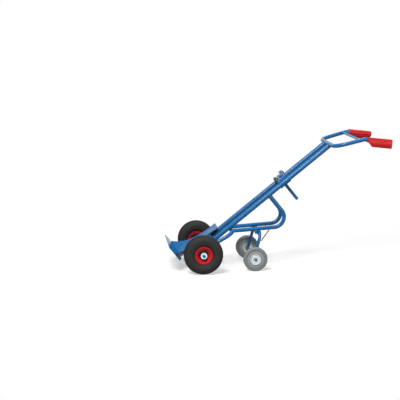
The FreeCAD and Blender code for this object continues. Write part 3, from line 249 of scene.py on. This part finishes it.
def blue_coat(name, rubbed):
    """Gloss powder coat with orange peel and soft drift, chipped in places or rubbed along the shaft."""
    paint = Finish(name)
    drift = paint.noise(scale=6, detail=3)
    peel = paint.noise(scale=260, detail=2)
    dust = paint.noise(scale=24, detail=5, rough=0.6)
    body = paint.mixed(drift, DEEP_BLUE, CLEAR_BLUE)
    body = paint.mixed(dust * DUST_SHARE, body, DUSTY_BLUE)
    roughness = PAINT_ROUGHNESS + dust * DUST_DULLS
    if rubbed:
        x, _, z = paint.axes()
        run = (x - AXLE.x) * SHAFT.x + (z - AXLE.z) * SHAFT.z
        streaks = paint.noise(scale=1, detail=1, at=paint.along_shaft(across=230, along=4))
        worn = paint.step(streaks, *STREAK_EDGE) * paint.band(run, *SLIDE_TRACK)
        body = paint.mixed(worn * STREAK_SHARE, body, RUBBED_BLUE)
        roughness = roughness + worn * STREAK_DULLS
        height = peel
    else:
        chips = paint.step(paint.noise(scale=70, detail=6, rough=0.7), *CHIP_EDGE)
        body = paint.mixed(chips * CHIP_SHARE, body, PRIMER_GREY)
        roughness = roughness + chips * CHIP_DULLS
        height = peel - chips
    relief = paint.bump(height, strength=0.012, distance=0.0003)
    return paint.coated(PAINT_IOR, body, roughness, relief)


# Black tyre: zones by distance from the axle in metres, tones, among them painted shade and a painted highlight,
# and the weight of each change
WALL_RINGS = ((0.074, 0.078), (0.1, 0.104))
TYRE_WALL = ((0.06, 0.068), (0.117, 0.126))
TYRE_BLACK = (0.0095, 0.0093, 0.0091)
TYRE_DUST = (0.0145, 0.0141, 0.0137)
RING_HIGHLIGHT = (0.027, 0.026, 0.0255)
SHOULDER_AND_BEAD_SHADE = (0.005, 0.005, 0.005)
TYRE_IOR = 1.3
TYRE_ROUGHNESS = 0.6
TYRE_DUST_DULLS = 0.25
RING_PACE = 1400
RING_SWING = 0.5
RING_HIGHLIGHT_SHARE = 0.35
RING_HEIGHT = 0.5
CASTING_HEIGHT = 0.15


def black_tyre():
    """Dull black tyre: moulded rings on its wall with a painted highlight on their crests, painted shade on the
    shoulder and at the bead, grey dust and casting grain.
    """
    tyre = Finish("black_tyre")
    reach = tyre.reach(AXLE)
    dust = tyre.noise(scale=40, detail=6, rough=0.65)
    grain = tyre.noise(scale=900, detail=2)
    rings = (reach * RING_PACE).sin()
    band = tyre.band(reach, *WALL_RINGS)
    # Painted highlight: the crests of the moulded rings in the middle of the wall are lighter.
    crest_highlight = rings * RING_SWING + RING_SWING
    tone = tyre.mixed(dust, TYRE_BLACK, TYRE_DUST)
    tone = tyre.mixed(band * crest_highlight * RING_HIGHLIGHT_SHARE, tone, RING_HIGHLIGHT)
    # Painted shade: outside the wall's band, the shoulder and the bead turn near-black.
    tone = tyre.mixed(tyre.band(reach, *TYRE_WALL), SHOULDER_AND_BEAD_SHADE, tone)
    relief = tyre.bump(rings * band * RING_HEIGHT + grain * CASTING_HEIGHT, strength=0.3, distance=0.0006)
    return tyre.coated(TYRE_IOR, tone, TYRE_ROUGHNESS + dust * TYRE_DUST_DULLS, relief)


# Grey solid tyre: zones by distance from its axle in metres, tones, among them a painted highlight ring and a
# painted shade ring, and the weight of each change
GREY_RIDGE = ((0.041, 0.046), (0.05, 0.054))
GREY_VALLEY = ((0.057, 0.062), (0.066, 0.07))
RUNNING_EDGE = (0.072, 0.079)
GREY_RUBBER = (0.135, 0.148, 0.148)
GREY_SCUFF = (0.175, 0.19, 0.188)
RIDGE_HIGHLIGHT = (0.265, 0.28, 0.28)
VALLEY_SHADE = (0.12, 0.13, 0.132)
WORN_TONE = (0.09, 0.095, 0.095)
GREY_IOR = 1.35
GREY_ROUGHNESS = 0.5
SCUFF_DULLS = 0.25
GREY_RING_PACE = 900
GREY_PAINTED_RING_SHARE = 0.8
GREY_RING_HEIGHT = 0.5
GREY_GRAIN_HEIGHT = 0.1
WORN_SHARE = 0.6


def grey_tyre():
    """Grey solid rubber with moulded rings, a painted highlight ring and a painted shade ring on its wall, and
    scuffs on the running face.
    """
    tyre = Finish("grey_tyre")
    reach = tyre.reach(SUPPORT_AXLE)
    scuffs = tyre.noise(scale=60, detail=6, rough=0.7)
    grain = tyre.noise(scale=800, detail=2)
    worn = tyre.step(reach, *RUNNING_EDGE)
    rings = (reach * GREY_RING_PACE).sin()
    tone = tyre.mixed(scuffs, GREY_RUBBER, GREY_SCUFF)
    # Painted highlight: a lighter ring on the wall.
    tone = tyre.mixed(tyre.band(reach, *GREY_RIDGE) * GREY_PAINTED_RING_SHARE, tone, RIDGE_HIGHLIGHT)
    # Painted shade: a darker ring further out on the wall.
    tone = tyre.mixed(tyre.band(reach, *GREY_VALLEY) * GREY_PAINTED_RING_SHARE, tone, VALLEY_SHADE)
    tone = tyre.mixed(worn * scuffs * WORN_SHARE, tone, WORN_TONE)
    height = rings * GREY_RING_HEIGHT * (1 - worn) + grain * GREY_GRAIN_HEIGHT
    relief = tyre.bump(height, strength=0.4, distance=0.0008)
    return tyre.coated(GREY_IOR, tone, GREY_ROUGHNESS + scuffs * SCUFF_DULLS, relief)


# Red mouldings: two tones each, and the painted shade in the pocket round the hub by distance from the axle in
# metres
GRIP_TONES = ((0.42, 0.008, 0.01), (0.34, 0.007, 0.009))
RIM_TONES = ((0.43, 0.008, 0.01), (0.3, 0.007, 0.009))
HUB_POCKET_SHADE = (0.012, 0.012, 0.013)
HUB_POCKET = (0.0315, 0.033)
RED_IOR = 1.25
RUB_EDGE = (0.55, 0.8)
RUB_DULLS = 0.18
GRAIN_DULLS = 0.08


def red_moulding(name, tones, roughness, grain_scale, grain_depth, pocket=None):
    """Red moulded plastic with fine grain, slight drift and rubbed spots, and painted shade in a hub's pocket."""
    plastic = Finish(name)
    drift = plastic.noise(scale=20, detail=4)
    grain = plastic.noise(scale=grain_scale, detail=3)
    rub = plastic.step(plastic.noise(scale=55, detail=5, rough=0.65), *RUB_EDGE)
    colour = plastic.mixed(drift, *tones)
    if pocket:
        # Painted shade: the pocket round the hub turns near-black.
        colour = plastic.mixed(plastic.step(plastic.reach(AXLE), *pocket), HUB_POCKET_SHADE, colour)
    relief = plastic.bump(grain, strength=grain_depth, distance=0.0004)
    return plastic.coated(RED_IOR, colour, roughness + rub * RUB_DULLS + grain * GRAIN_DULLS, relief)


# Zinc and steel: two tones each, of which the two darkened pairs for bolts and hubs are painted shade, dull spots,
# and what cloud and spots change
BRIGHT_TONES = ((0.68, 0.72, 0.74), (0.5, 0.54, 0.56))
SHADED_ZINC_TONES = ((0.36, 0.38, 0.39), (0.24, 0.26, 0.27))
DEEP_SHADE_TONES = ((0.12, 0.12, 0.12), (0.06, 0.06, 0.06))
SPRING_TONES = ((0.12, 0.12, 0.12), (0.07, 0.07, 0.07))
SPOT_GREY = (0.33, 0.34, 0.34)
ZINC_IOR = 1.5
ZINC_METALLIC = 0.92
ZINC_ROUGHNESS = 0.28
CLOUD_DULLS = 0.2
SPOT_EDGE = (0.58, 0.75)
SPOT_SHARE = 0.35
SPOT_DULLS = 0.2
SPOT_LOSS = 0.15
SPOT_HEIGHT = 0.2
LINE_HEIGHT = 0.4


def zinc_plate(name, tones):
    """Plated metal with a cloudy passivation, faint turning lines and dull spots."""
    metal = Finish(name)
    cloud = metal.noise(scale=70, detail=5, rough=0.6)
    spots = metal.step(metal.noise(scale=260, detail=4, rough=0.6), *SPOT_EDGE)
    lines = metal.noise(scale=1500, detail=2)
    colour = metal.mixed(spots * SPOT_SHARE, metal.mixed(cloud, *tones), SPOT_GREY)
    roughness = ZINC_ROUGHNESS + cloud * CLOUD_DULLS + spots * SPOT_DULLS
    relief = metal.bump(lines * LINE_HEIGHT + spots * SPOT_HEIGHT, strength=0.18, distance=0.0003)
    return metal.coated(ZINC_IOR, colour, roughness, relief, ZINC_METALLIC - spots * SPOT_LOSS)


# Black rubber and black plastic: two tones each
RUBBER_TONES = ((0.012, 0.012, 0.012), (0.04, 0.04, 0.04))
RUBBER_IOR = 1.45
RUBBER_ROUGHNESS = 0.7
BLOOM_DULLS = 0.2
PORE_SCALE = 900
PLASTIC_TONES = ((0.014, 0.014, 0.015), (0.03, 0.03, 0.032))
PLASTIC_IOR = 1.47
PLASTIC_ROUGHNESS = 0.45
SPARK_DULLS = 0.2


def black_rubber():
    """Black rubber with a matt bloom and fine pores."""
    rubber = Finish("black_rubber")
    bloom = rubber.noise(scale=80, detail=5, rough=0.6)
    sockets = {"Vector": rubber.place(), "Scale": PORE_SCALE}
    pores = rubber.node("ShaderNodeTexVoronoi", {"feature": "F1"}, sockets, "Distance")
    colour = rubber.mixed(bloom, *RUBBER_TONES)
    relief = rubber.bump(pores, strength=0.2, distance=0.0004)
    return rubber.coated(RUBBER_IOR, colour, RUBBER_ROUGHNESS + bloom * BLOOM_DULLS, relief)


def black_plastic():
    """Black moulded plug with a spark-eroded grain."""
    plastic = Finish("black_plastic")
    grain = plastic.noise(scale=700, detail=3)
    drift = plastic.noise(scale=60, detail=4)
    colour = plastic.mixed(drift, *PLASTIC_TONES)
    relief = plastic.bump(grain, strength=0.3, distance=0.0004)
    return plastic.coated(PLASTIC_IOR, colour, PLASTIC_ROUGHNESS + grain * SPARK_DULLS, relief)


# Finishes by material slot, and the pieces that have one of their own
PAINT = blue_coat("blue_paint", rubbed=False)
GRIP_RED = red_moulding("grip_red", GRIP_TONES, roughness=0.32, grain_scale=520, grain_depth=0.2)
SPRING_STEEL = zinc_plate("spring_steel", SPRING_TONES)
FINISHES = {
    "blue_paint": PAINT,
    "zinc": zinc_plate("bright_zinc", BRIGHT_TONES),
    "red_grip": GRIP_RED,
    "red_rim": red_moulding("rim_red", RIM_TONES, roughness=0.3, grain_scale=300, grain_depth=0.12,
                            pocket=HUB_POCKET),
    "black_tyre": black_tyre(),
    "grey_tyre": grey_tyre(),
    "black_rubber": black_rubber(),
    "black_plastic": black_plastic(),
}
SPINE_TUBES = ("spine_tube_left", "spine_tube_right")
# Painted shade: the support wheels' bolts and nuts get near-black zinc, and the clamp's bolts, rod and the support
# hubs get darker zinc.
PIECES_IN_DEEP_SHADE = ("support_bolts", "support_nuts")
PIECES_IN_SHADE = ("slider_bolts", "slider_nuts", "hook_bolts", "buffer_rod",
               "support_hub_left", "support_hub_right")
OWN_FINISH = dict.fromkeys(SPINE_TUBES, blue_coat("spine_paint", rubbed=True))
OWN_FINISH.update(dict.fromkeys(PIECES_IN_DEEP_SHADE, zinc_plate("deep_shade_zinc", DEEP_SHADE_TONES)))
OWN_FINISH.update(dict.fromkeys(PIECES_IN_SHADE, zinc_plate("shaded_zinc", SHADED_ZINC_TONES)))
for row in frame["record"]["subparts"]:
    materials = frame["nodes"][row["node"]].data.materials
    materials.clear()
    materials.append(OWN_FINISH.get(row["node"]) or FINISHES[row["material_slot"]])

RIPPLE_PACE = 2.1


def round_bar(name, points, radius, sides, material, level=None, closed=False, ripple=0.0):
    """A round bar along points; its rings are squared to a level direction if given, or else don't twist."""
    shape = bmesh.new()
    rings = []
    count = len(points)
    side = level or (points[1] - points[0]).orthogonal()
    for place, point in enumerate(points):
        after = points[(place + 1) % count if closed else min(place + 1, count - 1)]
        before = points[place - 1 if closed else max(place - 1, 0)]
        ahead = (after - before).normalized()
        side = level or side
        side = (side - ahead * side.dot(ahead)).normalized()
        other = ahead.cross(side)
        reach = radius * (1 + ripple * math.sin(place * RIPPLE_PACE))
        ring = []
        for turn in range(sides):
            angle = 2 * math.pi * turn / sides
            out = side * math.cos(angle) + other * math.sin(angle)
            ring.append(shape.verts.new(point + out * reach))
        rings.append(ring)
    spans = list(zip(rings, rings[1:]))
    if closed:
        spans.append((rings[-1], rings[0]))
    else:
        shape.faces.new(list(reversed(rings[0])))
        shape.faces.new(rings[-1])
    for first, second in spans:
        for turn in range(sides):
            following = (turn + 1) % sides
            shape.faces.new((first[turn], first[following], second[following], second[turn]))
    for face in shape.faces:
        face.smooth = True
    mesh = bpy.data.meshes.new(name)
    shape.to_mesh(mesh)
    shape.free()
    mesh.materials.append(material)
    return new_object(name, mesh)


# Return springs of the fork, wound from the peg under the loop to the peg on the fork leg; angles in degrees
WIRE_R = 0.95 * MM
WIRE_SIDES = 6
CURL_R = 3.2 * MM
EYE_R = 3.8 * MM
LEAD = 9 * MM
CURLS = 54
CURL_STEPS = 14
FORK_R = 10.65 * MM
PEG_MIDDLE = 5.2 * MM
LUG_DROP = 36 * MM
EYE_ANGLES = range(-100, 91, 19)


def spring_eye(peg, out, open_way):
    """Points of an eye hooked round a peg, its open end first."""
    turns = [math.radians(degrees) for degrees in EYE_ANGLES]
    return [peg + (out * math.sin(turn) + open_way * math.cos(turn)) * EYE_R for turn in turns]


def spring_route(top, foot, foot_post):
    """Points along the wire of one spring: an eye, the curls and the other eye."""
    ahead = (foot - top).normalized()
    wound = (foot - top).length - 2 * LEAD
    top_out = UPWARD.cross(ahead).normalized()
    foot_out = foot_post.cross(ahead).normalized()
    rise = ahead.cross(top_out)
    steps = CURLS * CURL_STEPS
    route = spring_eye(top, top_out, -ahead)
    for step in range(steps + 1):
        turn = math.pi / 2 + 2 * math.pi * step / CURL_STEPS
        middle = top + ahead * (LEAD + wound * step / steps)
        route.append(middle + (top_out * math.cos(turn) + rise * math.sin(turn)) * CURL_R)
    return route + list(reversed(spring_eye(foot, foot_out, ahead)))


anchor_low, anchor_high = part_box("spring_anchors")
lug_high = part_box("spring_lugs")[1]
leg = (SUPPORT_AXLE - FORK_PIVOT).normalized()
lug_post = Vector((-leg.z, 0, leg.x))
peg_r = (anchor_high.x - anchor_low.x) / 2
for side, sign in SIDES:
    top = (anchor_low + anchor_high) / 2
    top.y = sign * (anchor_high.y - peg_r)
    foot = FORK_PIVOT + lug_post * (FORK_R + PEG_MIDDLE) + leg * LUG_DROP
    foot.y = sign * (lug_high.y - peg_r)
    route = spring_route(top, foot, lug_post)
    spring = round_bar("spring_wire_" + side, route, WIRE_R, WIRE_SIDES, SPRING_STEEL)
    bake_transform(spring)
    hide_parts("return_spring_" + side)

# Weld beads where the tubes of the frame and the lever meet, sizes in millimetres
BEAD_R = 2.4
BEAD_SIDES = 8
BEAD_STEPS = 64
BEAD_RIPPLE = 0.12
SPINE_R = 16.85
SPINE_BACK = 9.5
SPINE_SIDE = 75
TUBE_R = 13.45
CROSSBAR_R = 8
LEVER_R = 10.65
LOOP_UP = 585
LOOP_REACH = 284
BOW_BACK = 40
BOW_UP = 236
HANDLE_UP = 1114
HANDLE_BACK = 5
CROSSBAR_AT = (73.7, 264, 1267)
ARM_RUN = (79, 23, 176)
LEVER_AT = (30.75, 0, 717.2)
FLAT = 0
COPE_ARC = (60, 300)


def weld_bead(name, points, level, closed, body):
    bead = round_bar(name, points, BEAD_R * MM, BEAD_SIDES, PAINT, level, closed, ripple=BEAD_RIPPLE)
    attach(bead, body)


def weld_round(name, heart, through, through_r, butt, butt_r, body):
    """Bead round a tube that butts on another: its ring is bent over the other's round."""
    butt = butt.normalized()
    through = (through - butt * through.dot(butt)).normalized()
    third = butt.cross(through)
    points = []
    for step in range(BEAD_STEPS):
        turn = 2 * math.pi * step / BEAD_STEPS
        aside = butt_r * math.sin(turn)
        lift = math.sqrt(max(through_r ** 2 - aside ** 2, 0))
        points.append(heart + (through * (butt_r * math.cos(turn)) + third * aside + butt * lift) * MM)
    weld_bead(name, points, level=butt, closed=True, body=body)


def handle_weld(side, sign):
    """Open bead where a spine tube ends on the round of the handle bow."""
    points = []
    for step in range(BEAD_STEPS + 1):
        turn = math.radians(COPE_ARC[0] + (COPE_ARC[1] - COPE_ARC[0]) * step / BEAD_STEPS)
        back = SPINE_BACK + SPINE_R * math.cos(turn)
        drop = math.sqrt(max(TUBE_R ** 2 - (back - HANDLE_BACK) ** 2, 0))
        points.append(on_trolley(back, sign * SPINE_SIDE + SPINE_R * math.sin(turn), HANDLE_UP - drop))
    weld_bead("handle_weld_" + side, points, level=SHAFT, closed=False, body="frame")


loop_way = REARWARD * (LOOP_REACH - BOW_BACK) + SHAFT * (LOOP_UP - BOW_UP)
for side, sign in SIDES:
    loop_top = on_trolley(SPINE_BACK, sign * SPINE_SIDE, LOOP_UP)
    weld_round("loop_weld_" + side, loop_top, SHAFT, SPINE_R, REARWARD, TUBE_R, "frame")
    loop_foot = on_trolley(BOW_BACK, sign * SPINE_SIDE, BOW_UP)
    weld_round("loop_foot_weld_" + side, loop_foot, ACROSS, TUBE_R, loop_way, TUBE_R, "frame")
    back, across, up = CROSSBAR_AT
    bar_end = on_trolley(back, sign * across, up)
    arm = REARWARD * ARM_RUN[0] + ACROSS * (sign * ARM_RUN[1]) + SHAFT * ARM_RUN[2]
    weld_round("crossbar_weld_" + side, bar_end, arm, TUBE_R, ACROSS * -sign, CROSSBAR_R, "frame")
    handle_weld(side, sign)
weld_round("lever_weld", on_trolley(*LEVER_AT), SHAFT, FLAT, REARWARD, LEVER_R, "hook_slider")

# Moulded ribs round the outer face of the grips' guards and one ridge along it, sizes in millimetres
GRIP_START = (99.4, 267, 1305.4)
GUARD_R = 60
GUARD_MIDDLE = (12, -10.7)
GUARD_ARC = 27
RIB_R = 1.6
RIB_SIDES = 8
RIB_STEPS = 16
RIB_PLACES = (6, 122, 150)
RIDGE_ANGLE = -8
RIDGE_RUN = (10, 119)
grip_along = (REARWARD + SHAFT).normalized()
grip_down = Vector((grip_along.z, 0, -grip_along.x))


def on_guard(sign, run, degrees):
    """A place on a guard's outer face, by its run along the grip and its angle round the face."""
    turn = math.radians(degrees)
    down = GUARD_MIDDLE[0] + GUARD_R * math.sin(turn)
    out = GUARD_MIDDLE[1] + GUARD_R * math.cos(turn)
    back, across, up = GRIP_START
    start = on_trolley(back, sign * across, up)
    return start + (grip_along * run + grip_down * down + ACROSS * (sign * out)) * MM


def grip_bead(name, points, level):
    bead = round_bar(name, points, RIB_R * MM, RIB_SIDES, GRIP_RED, level)
    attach(bead, "frame")


for side, sign in SIDES:
    for count, run in enumerate(RIB_PLACES):
        # The guard's lower front corner is cut off, so the first rib ends half-way down
        last = GUARD_ARC if count else 0
        arc = last + GUARD_ARC
        points = [on_guard(sign, run, arc * step / RIB_STEPS - GUARD_ARC) for step in range(RIB_STEPS + 1)]
        grip_bead("grip_rib_%s_%d" % (side, count), points, grip_along)
    grip_bead("grip_ridge_" + side, [on_guard(sign, run, RIDGE_ANGLE) for run in RIDGE_RUN], grip_down)

# Floor and world: white to the camera, in gloss and through glass, with little light of their own
WHITE = (1, 1, 1)
FLOOR_TONES = ((0.8, 0.8, 0.8), (0.86, 0.86, 0.86))
FLOOR_BOUNCE = (0.12, 0.12, 0.12)
FLOOR_ROUGHNESS = 0.9
FLOOR_HALF = 30
FLOOR_CORNERS = ((-1, -1), (1, -1), (1, 1), (-1, 1))
NEAR_GLOW = 0.5
WHITE_FROM = (0.9, 1.8)
WORLD_LIGHT = 0.1


def floor_finish():
    """Pale floor that keeps the shadow near the trolley and turns white further out."""
    floor = Finish("pale_floor")
    x, y, _ = floor.axes()
    far = floor.step((x * x + y * y).root(), *WHITE_FROM)
    seen = floor.seen()
    tone = floor.mixed(floor.noise(scale=14, detail=4), *FLOOR_TONES)
    colour = floor.mixed(seen, FLOOR_BOUNCE, tone)
    lit = floor.shader({"Base Color": colour, "Roughness": FLOOR_ROUGHNESS})
    glow = floor.node("ShaderNodeEmission", {}, {"Color": WHITE})
    share = seen * (NEAR_GLOW + far * (1 - NEAR_GLOW))
    sockets = {SHADER_SHARE: share, SHADER_FIRST: lit, SHADER_SECOND: glow}
    return floor.covered(floor.node("ShaderNodeMixShader", {}, sockets))


floor_mesh = bpy.data.meshes.new("floor")
corners = [(x * FLOOR_HALF, y * FLOOR_HALF, 0) for x, y in FLOOR_CORNERS]
floor_mesh.from_pydata(corners, [], [range(len(corners))])
floor_mesh.materials.append(floor_finish())
new_object("floor", floor_mesh)

world = bpy.data.worlds.new("studio")
bpy.context.scene.world = world
sky = Shading(world)
brightness = WORLD_LIGHT + sky.seen() * (1 - WORLD_LIGHT)
sky_light = sky.node("ShaderNodeBackground", {}, {"Color": WHITE, "Strength": brightness})
sky.node("ShaderNodeOutputWorld", {}, {"Surface": sky_light})

# Soft lamps aimed at the middle of the trolley: places and sizes in metres, power in watts
LIT_MIDDLE = Vector((0, 0, 0.4))


def turned(way):
    """The rotation of a lamp or camera that looks along a direction."""
    return way.to_track_quat("-Z", "Y").to_euler()


def soft_lamp(name, place, size, power):
    lamp = bpy.data.lights.new(name, "AREA")
    lamp.shape = "DISK"
    lamp.size = size
    lamp.energy = power
    made = new_object(name, lamp)
    made.location = place
    made.rotation_euler = turned(LIT_MIDDLE - Vector(place))


soft_lamp("key", place=(-1.8, -2.8, 4.2), size=2.4, power=430)
soft_lamp("front", place=(1.8, -4.4, 1.4), size=1.2, power=75)
soft_lamp("back", place=(0.8, 2.6, 4.6), size=2.0, power=90)

# Camera at the photograph's angle: distances in metres, sensor and lens in millimetres
HEADING = math.radians(5.17)
HEIGHT = math.radians(9.08)
DISTANCE = 7.4236
AIM_FROM_AXLE = Vector((0.00258, 0, 0.31885))
SENSOR = 36
LENS = 99.04
level_way = Vector((math.sin(HEADING), math.cos(HEADING), 0))
look = level_way * math.cos(HEIGHT) - UPWARD * math.sin(HEIGHT)
camera_data = bpy.data.cameras.new("camera")
camera_data.sensor_width = SENSOR
camera_data.lens = LENS
camera = new_object("camera", camera_data)
camera.location = AXLE + AIM_FROM_AXLE - look * DISTANCE
camera.rotation_euler = turned(look)
bpy.context.scene.camera = camera
bpy.context.scene.view_settings.view_transform = "Standard"
